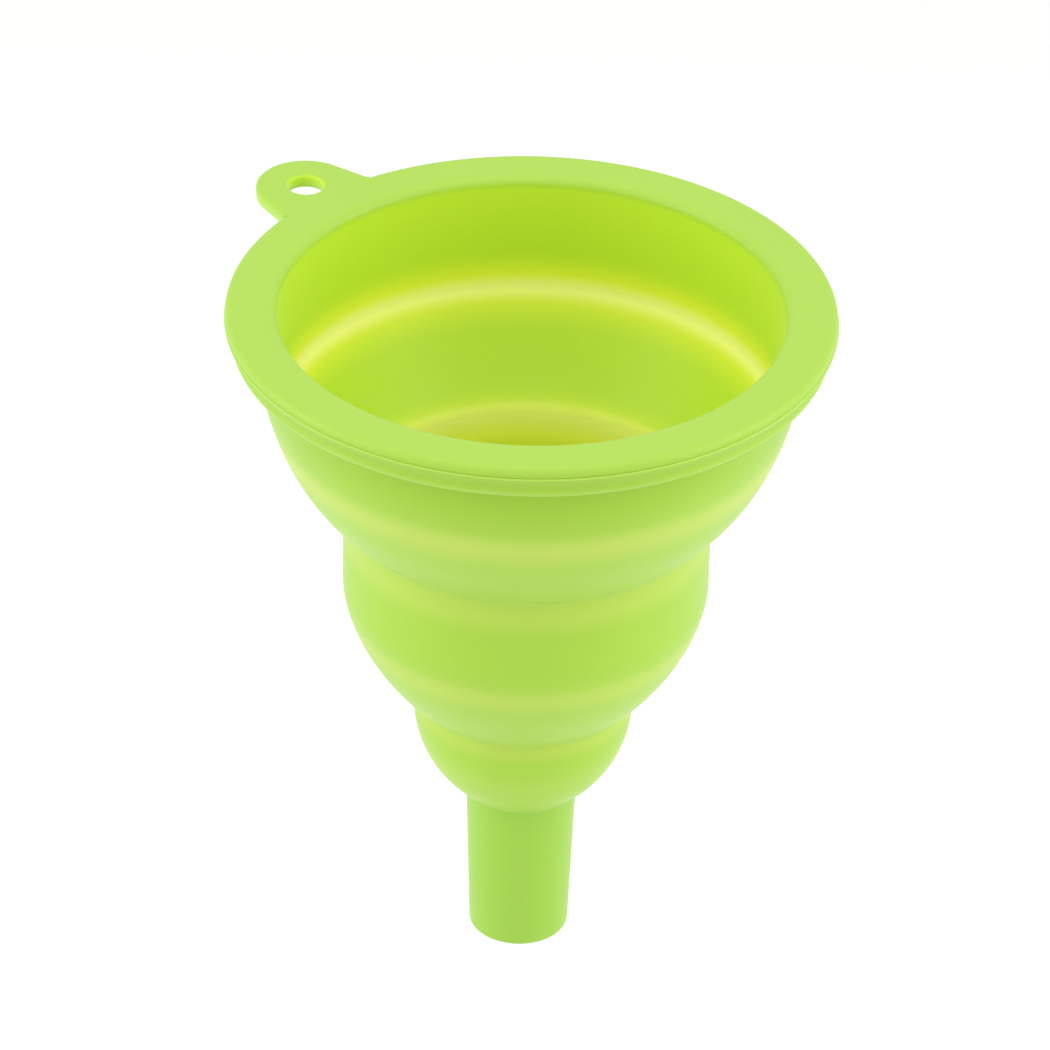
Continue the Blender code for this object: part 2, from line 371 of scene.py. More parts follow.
def silicone_colour_and_painted_light_group():
    """Silicone's colour: plain, then three layers of painted light and shade (a richer green, a glow
    at thin walls, a pale crest's highlight), then slow clouds of tone.
    """
    group, start, end = new_group(
        "Silicone Colour And Painted Light",
        [("Plain Color", "NodeSocketColor", (0.4, 0.7, 0.05, 1)),
         ("Richer Color", "NodeSocketColor", (0.6, 0.8, 0.01, 1)),
         ("Richer", "NodeSocketFloat", 0.0),
         ("Glow Color", "NodeSocketColor", (0.5, 0.7, 0.1, 1)), ("Glow", "NodeSocketFloat", 0.0),
         ("Crest Color", "NodeSocketColor", (0.9, 0.9, 0.2, 1)), ("Crest", "NodeSocketFloat", 0.0),
         ("Clouds", "NodeSocketFloat", 0.05)],
        [("Color", "NodeSocketColor")])
    links = group.links
    colour = start.outputs["Plain Color"]
    for share in ("Richer", "Glow", "Crest"):
        mix = group.nodes.new("ShaderNodeMix")
        mix.data_type = "RGBA"
        links.new(start.outputs[share], mix.inputs["Factor"])
        links.new(colour, mix.inputs["A"])
        links.new(start.outputs[share + " Color"], mix.inputs["B"])
        colour = mix.outputs["Result"]
    place = group.nodes.new("ShaderNodeTexCoord")
    clouds = group.nodes.new("ShaderNodeTexNoise")
    clouds.inputs["Scale"].default_value = 32.0
    clouds.inputs["Detail"].default_value = 3.0
    links.new(place.outputs["Object"], clouds.inputs["Vector"])
    centred = group.nodes.new("ShaderNodeMath")
    centred.operation = "SUBTRACT"
    centred.inputs[1].default_value = 0.5
    links.new(clouds.outputs["Fac"], centred.inputs[0])
    level = group.nodes.new("ShaderNodeMath")
    level.operation = "MULTIPLY_ADD"
    level.inputs[2].default_value = 1.0
    links.new(centred.outputs[0], level.inputs[0])
    links.new(start.outputs["Clouds"], level.inputs[1])
    shade = group.nodes.new("ShaderNodeHueSaturation")
    links.new(level.outputs[0], shade.inputs["Value"])
    links.new(colour, shade.inputs["Color"])
    links.new(shade.outputs["Color"], end.inputs["Color"])
    return group


def node_group(name, maker):
    """The node group of that name, made the first time it is asked for."""
    return bpy.data.node_groups.get(name) or maker()


# ---------------------------------------------------------------- materials

def silicone(name, plain, *layers):
    """Soft moulded silicone with a fine grain.

    The layers, richer, glow and crest, are (share, colour): a share is a mask's name or a
    plain number."""
    material = bpy.data.materials.get(name)
    if material:
        return material
    material = bpy.data.materials.new(name)
    material.use_nodes = True
    nodes, links = material.node_tree.nodes, material.node_tree.links
    shader = nodes["Principled BSDF"]
    shader.inputs["IOR"].default_value = 1.41
    shader.inputs["Sheen Weight"].default_value = 0.09
    shader.inputs["Sheen Roughness"].default_value = 0.4

    colour = nodes.new("ShaderNodeGroup")
    colour.node_tree = node_group("Silicone Colour And Painted Light", silicone_colour_and_painted_light_group)
    colour.inputs["Plain Color"].default_value = (*plain, 1.0)
    # Each layer paints light or shade into the colour: the richer green is painted passed light
    # inside and painted shade under the rim, the glow is painted light through thin walls and, on
    # the rim, painted shade by the parting line, and the crest is a painted highlight.
    for socket, (share, layer) in zip(("Richer", "Glow", "Crest"), layers):
        colour.inputs[socket + " Color"].default_value = (*layer, 1.0)
        if isinstance(share, str):
            mask = nodes.new("ShaderNodeAttribute")
            mask.attribute_name = share
            links.new(mask.outputs["Fac"], colour.inputs[socket])
        else:
            colour.inputs[socket].default_value = share
    links.new(colour.outputs["Color"], shader.inputs["Base Color"])

    grain = nodes.new("ShaderNodeGroup")
    grain.node_tree = node_group("Moulded Grain", moulded_grain_group)
    grain.inputs["Roughness"].default_value = finish().roughness
    bump = nodes.new("ShaderNodeBump")
    bump.inputs["Strength"].default_value = 0.12
    bump.inputs["Distance"].default_value = 0.05 * MM
    links.new(grain.outputs["Roughness"], shader.inputs["Roughness"])
    links.new(grain.outputs["Height"], bump.inputs["Height"])
    links.new(bump.outputs["Normal"], shader.inputs["Normal"])
    return material


def outside_silicone():
    """The lime green of the tiers' outside, with painted shade close under the rim and painted glow
    at the thin walls.
    """
    return silicone(
        "lime_silicone_outside", finish().outside_green, (PAINTED_SHADE, finish().shaded_green),
        (OUTER_GLOW, finish().outside_glow))


def inside_silicone():
    """The inside of the tiers: the green made richer as painted passed light, with painted glow and
    painted highlights at the ridges.
    """
    return silicone(
        "lime_silicone_inside", finish().outside_green, (1.0, finish().inside_green),
        (INNER_GLOW, finish().inside_glow), (INNER_CREST_HIGHLIGHT, finish().crest_highlight_colour))


def rim_silicone():
    """The lime green of the rim, turning in the mouth to the inside's green of painted passed light,
    with painted shade on its side and a painted highlight on the parting flash.
    """
    return silicone(
        "lime_silicone_rim", finish().rim_green, (INSIDE, finish().inside_green),
        (PAINTED_SHADE, finish().shaded_green), (PARTING_HIGHLIGHT, finish().flash_highlight))


def spout_silicone():
    """The spout's green, made slightly deeper as painted shade, with the inside's green of painted
    passed light in its bore.
    """
    return silicone(
        "lime_silicone_spout", finish().spout_green, (INSIDE, finish().inside_green))


# ---------------------------------------------------------------- outlines

def downwards(lean):
    """The unit step down an outline that leans towards the axis, in the (radius, height) plane."""
    return Vector((-math.sin(lean), -math.cos(lean)))


def outwards(lean):
    """The unit normal on the outer side of an outline that leans towards the axis."""
    return Vector((math.cos(lean), -math.sin(lean)))


def leaning_curve(start, start_lean, start_pull, end, end_lean, end_pull, count):
    """A smooth outline from start down to end.

    A pull is the length of the curve's handle at that end, as a share of the chord."""
    chord = (end - start).length
    second = start + downwards(start_lean) * start_pull * chord
    third = end - downwards(end_lean) * end_pull * chord
    points = []
    for step in range(count + 1):
        t = step / count
        s = 1.0 - t
        points.append(
            start * s ** 3 + second * 3 * t * s * s + third * 3 * t * t * s + end * t ** 3)
    return points


def arc(centre, radius, first_angle, last_angle, count):
    """Points of a circular arc."""
    points = []
    for step in range(count + 1):
        angle = first_angle + (last_angle - first_angle) * step / count
        points.append(centre + Vector((math.cos(angle), math.sin(angle))) * radius)
    return points


def hollow_corner(corner, lean_above, lean_below):
    """The hollow rounding outside a corner, from the web above to the wall below it."""
    radius = shape().corner_fillet
    setback = radius * math.tan((lean_above - lean_below) / 2)
    centre = corner - downwards(lean_above) * setback + outwards(lean_above) * radius
    points = []
    for step in range(FILLET_STEPS + 1):
        lean = lean_above + (lean_below - lean_above) * step / FILLET_STEPS
        points.append(centre - outwards(lean) * radius)
    return points


def bend(start, corner, end, count):
    """A soft bend from start to end, drawn towards corner, without its two end points."""
    points = []
    for step in range(1, count):
        t = step / count
        points.append(start * (1 - t) ** 2 + corner * 2 * t * (1 - t) + end * t * t)
    return points


def smooth(low, high, value):
    """0 at low, 1 at high, and an even S between."""
    t = min(max((value - low) / (high - low), 0.0), 1.0)
    return t * t * (3.0 - 2.0 * t)


def hump(value, low, peak, high):
    """0 up to low, 1 at peak, 0 from high on."""
    return smooth(low, peak, value) * smooth(high, peak, value)


# ---------------------------------------------------------------- masks

class Hinge:
    """A thin place: a ridge, where a ring turns into its web, or a corner, where a web ends.

    The spread scales its bands of light, and outside and inside are how strong they are."""

    # Where each band of light starts, peaks and ends, above the level of a hinge of spread 1.
    OUTER_AT_CORNER = (-7.0 * MM, -1.6 * MM, 0.9 * MM)
    OUTER_AT_RIDGE = (-5.0 * MM, 0.3 * MM, 4.8 * MM)
    INNER_AT_CORNER = (-15.0 * MM, -3.0 * MM, 2.8 * MM)
    INNER_AT_RIDGE = (-7.5 * MM, 0.6 * MM, 7.0 * MM)
    CREST_AT_CORNER = (-5.0 * MM, -0.8 * MM, 0.8 * MM)
    CREST_AT_RIDGE = (-3.0 * MM, 0.1 * MM, 2.5 * MM)

    def __init__(self, level, is_corner, spread, outside, inside):
        self.level = level
        self.is_corner = is_corner
        self.spread = spread
        self.outside = outside
        self.inside = inside

    def band(self, height, at_corner, at_ridge):
        """How strong a band of light is at that height, from 0 to 1."""
        up = (height - self.level) / self.spread
        return hump(up, *(at_corner if self.is_corner else at_ridge))

    def outer_glow(self, height):
        """How much light comes through on the outside."""
        return self.outside * self.band(height, self.OUTER_AT_CORNER, self.OUTER_AT_RIDGE)

    def inner_glow(self, height):
        """How much light comes through on the inside."""
        return self.inside * self.band(height, self.INNER_AT_CORNER, self.INNER_AT_RIDGE)

    def inner_crest_highlight(self, height):
        """The painted pale highlight on the crest inside."""
        return self.band(height, self.CREST_AT_CORNER, self.CREST_AT_RIDGE)


HINGES = (
    Hinge(WALL_LOW.z, False, 1.0, 1.0, 0.75),
    Hinge(UPPER_WEB_LOW.z, True, 1.0, 1.0, 1.0),
    Hinge(MIDDLE_LOW.z, False, 0.85, 0.75, 0.9),
    Hinge(MIDDLE_WEB_LOW.z, True, 0.65, 0.8, 1.0),
    Hinge(LOWER_LOW.z, False, 0.55, 0.15, 0.9),
    Hinge(LOWER_WEB_LOW.z, True, 0.45, 0.0, 1.0),
)


def paint_mask(mesh, name, mask):
    """Store a mask, a function of a point, on every vertex."""
    layer = mesh.attributes.new(name, "FLOAT", "POINT")
    layer.data.foreach_set("value", [mask(vertex.co) for vertex in mesh.vertices])


def paint_hinges(mesh):
    """Store the painted glow of the thin places, the painted highlights on the pale crests and the
    painted shade on the wall under the rim.
    """
    paint_mask(mesh, OUTER_GLOW, lambda p: max(hinge.outer_glow(p.z) for hinge in HINGES))
    paint_mask(mesh, INNER_GLOW, lambda p: max(hinge.inner_glow(p.z) for hinge in HINGES))
    paint_mask(mesh, INNER_CREST_HIGHLIGHT, lambda p: max(hinge.inner_crest_highlight(p.z) for hinge in HINGES))
    # Painted shade on the wall close under the rim.
    paint_mask(
        mesh, PAINTED_SHADE,
        lambda p: smooth(RIM_LOW.z - SHADE_ENDS, RIM_LOW.z - SHADE_FADES, p.z))


# ---------------------------------------------------------------- meshes

def turned_mesh(name, line, closed):
    """Turn an outline, given downwards on its outer side, about the pouring axis."""
    build = bmesh.new()
    verts = [build.verts.new((point.x, 0.0, point.y)) for point in line]
    edges = [build.edges.new(pair) for pair in zip(verts, verts[1:])]
    if closed:
        edges.append(build.edges.new((verts[-1], verts[0])))
    bmesh.ops.spin(
        build, geom=verts + edges, cent=(0, 0, 0), axis=(0, 0, 1), angle=2 * math.pi,
        steps=shape().turn_steps, use_merge=True)
    bmesh.ops.remove_doubles(build, verts=build.verts, dist=0.001 * MM)
    bmesh.ops.recalc_face_normals(build, faces=build.faces)
    for edge in build.edges:
        edge.smooth = not edge.is_boundary
    mesh = bpy.data.meshes.new(name)
    build.to_mesh(mesh)
    build.free()
    return mesh


def outward(mesh):
    """Turn an open surface's faces so that they look away from the axis."""
    face = mesh.polygons[0]
    if face.normal.dot(Vector((face.center.x, face.center.y, 0.0))) < 0:
        mesh.flip_normals()
    return mesh


def new_piece(name, mesh, *materials):
    """A smooth object of that mesh in the scene, in place of any older one of its name."""
    old = bpy.data.objects.get(name)
    if old:
        bpy.data.objects.remove(old, do_unlink=True)
    piece = bpy.data.objects.new(name, mesh)
    bpy.context.scene.collection.objects.link(piece)
    mesh.materials.clear()
    for material in materials:
        mesh.materials.append(material)
    for face in mesh.polygons:
        face.use_smooth = True
    return piece


def soft_skin(name, line, walls):
    """A tier's skin: the turned outer surface, thickened inwards by the wall at each point."""
    mesh = outward(turned_mesh(name, line, closed=False))
    paint_hinges(mesh)
    piece = new_piece(name, mesh, outside_silicone(), inside_silicone())
    heights = [point.y for point in reversed(line)]
    upwards = list(reversed(walls))
    thickest = max(walls)
    group = piece.vertex_groups.new(name=WALL_GROUP)
    for vertex in mesh.vertices:
        wall = float(np.interp(vertex.co.z, heights, upwards))
        group.add([vertex.index], wall / thickest, "REPLACE")
    skin = piece.modifiers.new("Wall", "SOLIDIFY")
    skin.thickness = thickest
    skin.offset = -1.0
    skin.vertex_group = WALL_GROUP
    skin.material_offset = 1
    skin.material_offset_rim = 1
    return piece


# ---------------------------------------------------------------- walls

def normals_of(line):
    """The outer normal at each point of an outline."""
    before = line[:1] + line[:-1]
    after = line[1:] + line[-1:]
    steps = [(last - first).normalized() for first, last in zip(before, after)]
    return [Vector((-step.y, step.x)) for step in steps]


def bore_line(line, ridge, top):
    """The straight bore of a ring: from the point top, to the thin wall at the ridge's level."""
    heights = [point.y for point in line]
    index = min(range(len(line)), key=lambda i: abs(heights[i] - ridge))
    return top, line[index] - normals_of(line)[index] * shape().ridge_wall


def tier_walls(line, ridge, bore, corner_above):
    """The wall at each point of a tier's outline: to the ring's bore, then the web's own."""
    sizes = shape()
    top, foot = bore
    down = (foot - top).normalized()
    face = Vector((-down.y, down.x))
    walls = []
    for point, normal in zip(line, normals_of(line)):
        if point.y > ridge:
            wall = (point - top).dot(face) / normal.dot(face)
            if corner_above:
                settled = smooth(0.0, sizes.corner_slope, line[0].y - point.y)
                wall = sizes.corner_wall + (wall - sizes.corner_wall) * settled
        else:
            share = (ridge - point.y) / (ridge - line[-1].y)
            ends = sizes.ridge_wall + (sizes.corner_wall - sizes.ridge_wall) * share
            wall = ends + (sizes.web_wall - ends) * hump(share, 0.0, 0.5, 1.0)
        walls.append(wall)
    return walls


def web_end(corner, lean_above, lean_below):
    """Where a web stops: a short straight step above the hollow rounding outside its corner."""
    return hollow_corner(corner, lean_above, lean_below)[0] - downwards(lean_above) * SEAM_STEP


def upper_outline():
    """The bowl's outer side, from the rim's underside to the first corner."""
    top = Vector((WALL_HIGH.x, RIM_LOW.z))
    end = web_end(FIRST_CORNER, UPPER_WEB_LEAN, 0.0)
    return leaning_curve(
        top, BOWL_LEAN, UPPER_PULLS[0], end, UPPER_WEB_LEAN, UPPER_PULLS[1],
        shape().outline_steps)


def upper_bore():
    """The bowl's straight bore, which goes on from the rim's."""
    mouth = Vector((RIM_HIGH.x - shape().rim_width, RIM_HIGH.z))
    return bore_line(upper_outline(), WALL_LOW.z, mouth)


def upper_seat():
    """The two edges of the bowl's top, where it hangs from the rim: outer and inner."""
    line = upper_outline()
    wall = tier_walls(line, WALL_LOW.z, upper_bore(), corner_above=False)[0]
    return line[0], line[0] - normals_of(line)[0] * wall


def ring_outline(corner, lean_above, shoulder, end, end_lean, pulls):
    """From a corner's hollow rounding, down an upright ring and round its web."""
    start = corner + downwards(0.0) * shoulder
    curve = leaning_curve(
        start, 0.0, pulls[0], end, end_lean, pulls[1], shape().outline_steps)
    upright = [corner.lerp(start, share) for share in (0.25, 0.5, 0.75)] if shoulder > MM else []
    first = [web_end(corner, lean_above, 0.0)] + hollow_corner(corner, lean_above, 0.0)
    return first + [point for point in upright if point.y < first[-1].y] + curve


def ring_bore(line, corner, ridge):
    """A ring's straight bore, from its full wall under the corner to the ridge."""
    return bore_line(line, ridge, Vector((corner.x - shape().ring_wall, corner.y)))


# ---------------------------------------------------------------- operators

class FUNNEL_OT_rim(Operator):
    """Turn the rim flange and join the hanging tab to it"""

    bl_idname = "funnel.rim"
    bl_label = "Rim and Tab"

    def execute(self, context):
        """Build the rim, unite it with the tab, and let it ride on the rim's body."""
        rim = new_piece(
            "rim_with_tab", turned_mesh("rim_with_tab", self.rim_line(), closed=True),
            rim_silicone())
        tab = new_piece("tab_plate", self.tab_mesh(), rim_silicone())
        join = rim.modifiers.new("Tab", "BOOLEAN")
        join.operation = "UNION"
        join.solver = "EXACT"
        join.object = tab
        context.view_layer.update()
        united = bpy.data.meshes.new_from_object(
            rim.evaluated_get(context.evaluated_depsgraph_get()))
        rim.modifiers.clear()
        rim.data = united
        bpy.data.objects.remove(tab, do_unlink=True)
        united.set_sharp_from_angle(angle=math.radians(40))
        # The inside's green in the mouth and the hole is painted passed light.
        paint_mask(united, INSIDE, self.inside)
        # Painted shade on the rim's side, above and below the parting line.
        paint_mask(united, PAINTED_SHADE, self.shaded)
        # A painted highlight on the parting flash.
        paint_mask(united, PARTING_HIGHLIGHT, self.flash)
        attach(rim, "rim")
        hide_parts("rim_flange", "hang_tab")
        return {"FINISHED"}

    def inside(self, point):
        """1 on the mouth's bore and in the hanging hole, 0 elsewhere: where the inside's green of
        painted passed light goes.
        """
        sizes = shape()
        mouth = RIM_HIGH.x - sizes.rim_width
        radius = math.hypot(point.x, point.y)
        if radius < mouth + sizes.mouth_edge:
            return smooth(RIM_HIGH.z - INSIDE_STARTS, RIM_HIGH.z - INSIDE_FULL, point.z)
        hole = self.tab_centre()
        away = math.hypot(point.x + hole, point.y)
        return smooth(sizes.tab_hole_radius + sizes.tab_edge, sizes.tab_hole_radius, away)

    def shaded(self, point):
        """Painted shade: how much deeper the rim's side is, just above and below the parting line.
        """
        if math.hypot(point.x, point.y) < RIM_HIGH.x - 2.0 * MM:
            return 0.0
        part = RIM_HIGH.z - shape().parting_depth
        above = 0.6 * hump(point.z, part + 0.1 * MM, part + 0.35 * MM, part + 1.2 * MM)
        below = 0.9 * hump(point.z, RIM_LOW.z + 0.6 * MM, part - 1.1 * MM, part - 0.1 * MM)
        return max(above, below)

    def flash(self, point):
        """1 on the thin bead that the mould leaves at the parting line, for its painted highlight.
        """
        if math.hypot(point.x, point.y) < RIM_HIGH.x:
            return 0.0
        away = abs(point.z - RIM_HIGH.z + shape().parting_depth) / shape().parting_flash
        return smooth(0.8, 0.5, away)

    def rim_line(self):
        """The rim's closed section, clockwise from the flat top's outer end."""
        sizes = shape()
        radius, top, foot = RIM_HIGH.x, RIM_HIGH.z, RIM_LOW.z
        edge, lip, inner = sizes.rim_top_edge, sizes.rim_lip, sizes.mouth_edge
        flash = sizes.parting_flash
        foot_radius = radius - sizes.rim_lean
        part = top - sizes.parting_depth
        line = arc(Vector((radius - edge, top - edge)), edge, math.pi / 2, 0.0, EDGE_STEPS)
        line += [
            Vector((radius, part + 1.7 * flash)),
            Vector((radius - 0.5 * flash, part + 1.2 * flash)),
            Vector((radius + 0.5 * flash, part + 0.4 * flash)),
            Vector((radius + 0.5 * flash, part - 0.2 * flash)),
            Vector((radius - 1.0 * flash, part - 0.9 * flash)),
        ]
        waist = Vector((radius - 1.5 * flash, part - 2.2 * flash))
        lip_top = Vector((foot_radius - 0.2 * MM, foot + 1.9 * lip))
        line += leaning_curve(waist, math.radians(6), 0.3, lip_top, 0.0, 0.3, EDGE_STEPS)
        lip_centre = Vector((foot_radius - lip, foot + lip))
        line += arc(lip_centre, lip, math.radians(20), -math.pi / 2, EDGE_STEPS)
        line += list(upper_seat())
        bore_top, bore_foot = upper_bore()
        lean = math.atan2(bore_top.x - bore_foot.x, bore_top.y - bore_foot.y)
        centre = bore_top + Vector((inner / math.cos(lean), -inner))
        bore_end = centre - Vector((inner, 0.0))
        line += [line[-1].lerp(bore_end, step / 8) for step in range(1, 8)]
        line += arc(centre, inner, math.pi, math.pi / 2, EDGE_STEPS)
        flat_start, flat_end = centre.x, radius - edge
        steps = 6
        line += [
            Vector((flat_start + (flat_end - flat_start) * step / steps, top))
            for step in range(1, steps)
        ]
        return line

    def tab_centre(self):
        """The distance from the pouring axis to the middle of the tab's round end."""
        return -TAB_LOW.x - shape().tab_end_radius

    def tab_side(self):
        """One side of the tab, from its round end to inside the rim, as (outwards, sideways)."""
        sizes = shape()
        centre, end_radius, taper = self.tab_centre(), sizes.tab_end_radius, sizes.tab_taper
        straight = Vector((-math.cos(taper), math.sin(taper)))
        side = arc(Vector((centre, 0.0)), end_radius, 0.0, math.pi / 2 - taper, 20)
        start = side[-1]
        towards = -start.dot(straight)
        spare = start.length_squared - RIM_HIGH.x ** 2
        root = start + straight * (towards - math.sqrt(towards ** 2 - spare))
        round_the_rim = Vector((-root.y, root.x)).normalized()
        before = root - straight * sizes.tab_root_fillet
        after = root + round_the_rim * sizes.tab_root_fillet
        buried = after * (1.0 - 2.5 * MM / RIM_HIGH.x)
        return side + [before] + bend(before, root, after, 5) + [after, buried]

    def tab_mesh(self):
        """The tab as a flat plate with rounded edges and a round hole."""
        sizes = shape()
        side = self.tab_side()
        far_side = [Vector((point.x, -point.y)) for point in reversed(side[1:])]
        outline = [Vector((-point.x, point.y)) for point in side + far_side]
        hole = arc(Vector((-self.tab_centre(), 0.0)), sizes.tab_hole_radius, 0.0, 2 * math.pi, 64)
        thickness = TAB_HIGH.z - TAB_LOW.z
        curve = bpy.data.curves.new("tab_plate", "CURVE")
        curve.dimensions = "2D"
        curve.fill_mode = "BOTH"
        curve.extrude = thickness / 2 - sizes.tab_edge
        curve.bevel_depth = sizes.tab_edge
        curve.bevel_resolution = 4
        curve.offset = -sizes.tab_edge
        for line in (outline, hole[:-1]):
            spline = curve.splines.new("POLY")
            spline.points.add(len(line) - 1)
            for point, place in zip(spline.points, line):
                point.co = (place.x, place.y, 0.0, 1.0)
            spline.use_cyclic_u = True
        flat = bpy.data.objects.new("tab_plate_curve", curve)
        bpy.context.scene.collection.objects.link(flat)
        bpy.context.view_layer.update()
        mesh = bpy.data.meshes.new_from_object(
            flat.evaluated_get(bpy.context.evaluated_depsgraph_get()))
        bpy.data.objects.remove(flat, do_unlink=True)
        mesh.transform(Matrix.Translation((0, 0, TAB_LOW.z + thickness / 2 - 0.01 * MM)))
        build = bmesh.new()
        build.from_mesh(mesh)
        bmesh.ops.remove_doubles(build, verts=build.verts, dist=0.002 * MM)
        bmesh.ops.recalc_face_normals(build, faces=build.faces)
        build.to_mesh(mesh)
        build.free()
        return mesh


class FUNNEL_OT_upper_tier(Operator):
    """Turn the upper bowl, whose web rolls up when the middle tier is pushed in"""

    bl_idname = "funnel.upper_tier"
    bl_label = "Upper Tier"

    def execute(self, context):
        """Build the bowl and hide the frame's upper wall and web."""
        line = upper_outline()
        ridge = WALL_LOW.z
        walls = tier_walls(line, ridge, upper_bore(), corner_above=False)
        piece = soft_skin("upper_tier", line, walls)
        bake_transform(piece)
        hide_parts("upper_wall", "upper_web")
        return {"FINISHED"}


class FUNNEL_OT_middle_tier(Operator):
    """Turn the middle ring and the web under it"""

    bl_idname = "funnel.middle_tier"
    bl_label = "Middle Tier"

    def execute(self, context):
        """Build the middle tier and hide the frame's middle ring and web."""
        ridge = MIDDLE_LOW.z
        line = ring_outline(
            FIRST_CORNER, UPPER_WEB_LEAN, MIDDLE_SHOULDER,
            web_end(SECOND_CORNER, MIDDLE_WEB_LEAN, 0.0), MIDDLE_WEB_LEAN, MIDDLE_PULLS)
        walls = tier_walls(line, ridge, ring_bore(line, FIRST_CORNER, ridge), corner_above=True)
        piece = soft_skin("middle_tier", line, walls)
        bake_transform(piece)
        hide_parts("middle_ring", "middle_web")
        return {"FINISHED"}


class FUNNEL_OT_lower_tier(Operator):
    """Turn the lower ring and the short web that closes in on the spout"""

    bl_idname = "funnel.lower_tier"
    bl_label = "Lower Tier"

    def execute(self, context):
        """Build the lower tier, its wall thinned at the knuckle, and hide the frame's lower ring and
        web.
        """
        ridge = LOWER_LOW.z
        line = ring_outline(
            SECOND_CORNER, MIDDLE_WEB_LEAN, LOWER_SHOULDER,
            web_end(THIRD_CORNER, LOWER_WEB_LEAN, spout_lean()), LOWER_WEB_LEAN, LOWER_PULLS)
        walls = tier_walls(line, ridge, ring_bore(line, SECOND_CORNER, ridge), corner_above=True)
        knuckle = ridge - LOWER_KNUCKLE_DROP
        roll = knuckle - LOWER_ROLL_DROP
        walls = [
            min(wall, LOWER_HINGE_WALL + LOWER_HINGE_SLOPE * abs(point.y - roll))
            for wall, point in zip(walls, line)]
        piece = soft_skin("lower_tier", line, walls)
        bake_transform(piece)
        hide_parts("lower_ring", "lower_web")
        return {"FINISHED"}


def spout_lean():
    """How much the spout narrows towards its end."""
    return math.atan((THIRD_CORNER.x - shape().spout_end_radius) / (THIRD_CORNER.y - SPOUT_LOW.z))


class FUNNEL_OT_spout(Operator):
    """Turn the tapered spout with its rounded end"""

    bl_idname = "funnel.spout"
    bl_label = "Spout"

    def execute(self, context):
        """Build the spout and let it ride on its own body."""
        mesh = turned_mesh("spout", self.outside() + self.bore(), closed=True)
        paint_mask(mesh, INSIDE, self.inside)
        piece = new_piece("spout", mesh, spout_silicone())
        mesh.set_sharp_from_angle(angle=math.radians(60))
        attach(piece, "spout")
        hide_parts("spout_tube")
        return {"FINISHED"}

    def inside(self, point):
        """1 in the bore and on its flare, 0 outside and on the rounded end: where the inside's green
        of painted passed light goes.
        """
        share = (point.z - SPOUT_LOW.z) / (THIRD_CORNER.y - SPOUT_LOW.z)
        outer = shape().spout_end_radius + (THIRD_CORNER.x - shape().spout_end_radius) * share
        wall = outer - math.hypot(point.x, point.y)
        if point.z < SPOUT_LOW.z + shape().spout_end_edge + 0.1 * MM:
            return smooth(shape().spout_end_edge, shape().spout_wall - 0.1 * MM, wall)
        flare = smooth(0.55 * MM, 0.75 * MM, point.z - THIRD_CORNER.y)
        return max(flare, smooth(0.4 * MM, 0.9 * MM, wall))

    def outside(self):
        """From the last corner's rounding, down to the middle of the end's edge."""
        sizes = shape()
        lean, edge, foot = spout_lean(), sizes.spout_end_edge, SPOUT_LOW.z
        fillet = hollow_corner(THIRD_CORNER, LOWER_WEB_LEAN, lean)
        fillet.insert(0, web_end(THIRD_CORNER, LOWER_WEB_LEAN, lean))
        side_end = Vector((sizes.spout_end_radius, foot + edge))
        side = [fillet[-1].lerp(side_end, step / 20) for step in range(1, 20)]
        end = arc(side_end - Vector((edge, 0.0)), edge, 0.0, -math.pi / 2, 8)
        return fillet + side + end

    def bore(self):
        """From the end's inner edge, up the bore to the seat of the lower tier."""
        sizes = shape()
        lean, edge, foot = spout_lean(), sizes.spout_bore_edge, SPOUT_LOW.z
        end_radius = sizes.spout_end_radius - sizes.spout_wall
        top_radius = THIRD_CORNER.x - sizes.spout_wall
        seat = web_end(THIRD_CORNER, LOWER_WEB_LEAN, lean)
        seat = seat - outwards(LOWER_WEB_LEAN) * sizes.corner_wall
        flare_foot = Vector((top_radius, THIRD_CORNER.y - 1.6 * MM))
        flare = leaning_curve(seat, LOWER_WEB_LEAN, 0.4, flare_foot, lean, 0.4, 8)
        edge_arc = arc(Vector((end_radius + edge, foot + edge)), edge, -math.pi / 2, -math.pi, 3)
        straight = [edge_arc[-1].lerp(flare_foot, step / 20) for step in range(1, 20)]
        return edge_arc + straight + list(reversed(flare))


